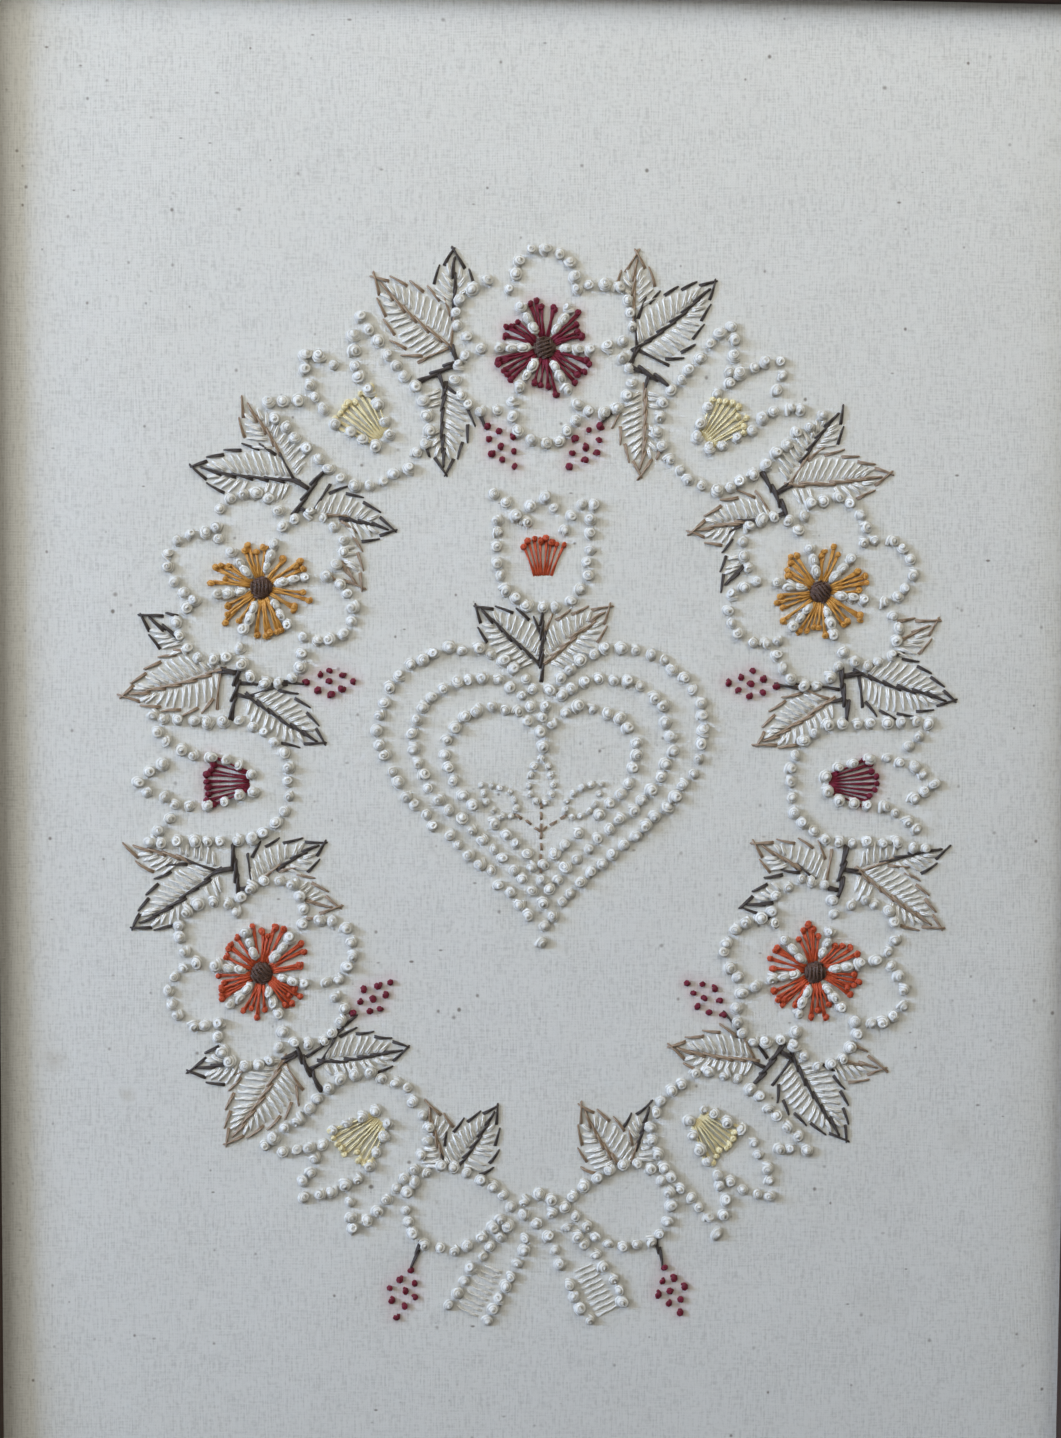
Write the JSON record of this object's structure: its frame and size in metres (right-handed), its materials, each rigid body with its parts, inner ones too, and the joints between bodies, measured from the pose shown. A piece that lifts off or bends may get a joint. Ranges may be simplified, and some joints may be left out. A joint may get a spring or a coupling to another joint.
{
  "type": "picture frame with candlewick embroidery",
  "caption": "Upright rectangular wooden picture frame holding a stretched muslin sheet with raised knot embroidery, for hanging or standing as a wall decoration.",
  "frame": {"origin": "middle of the frame's back, on the surface the picture lies on", "axes": "+Z out of the picture, +Y towards the picture's top, +X to the viewer's right"},
  "size_m": [0.361, 0.488, 0.02],
  "materials": {
    "muslin": "matte",
    "stained_wood": "satin",
    "hardboard": "matte"
  },
  "bodies": {
    "root": {"cloth": "muslin", "frame_top": "stained_wood", "frame_bottom": "stained_wood", "frame_left": "stained_wood", "frame_right": "stained_wood", "backing_board": "hardboard"}
  },
  "joints": []
}
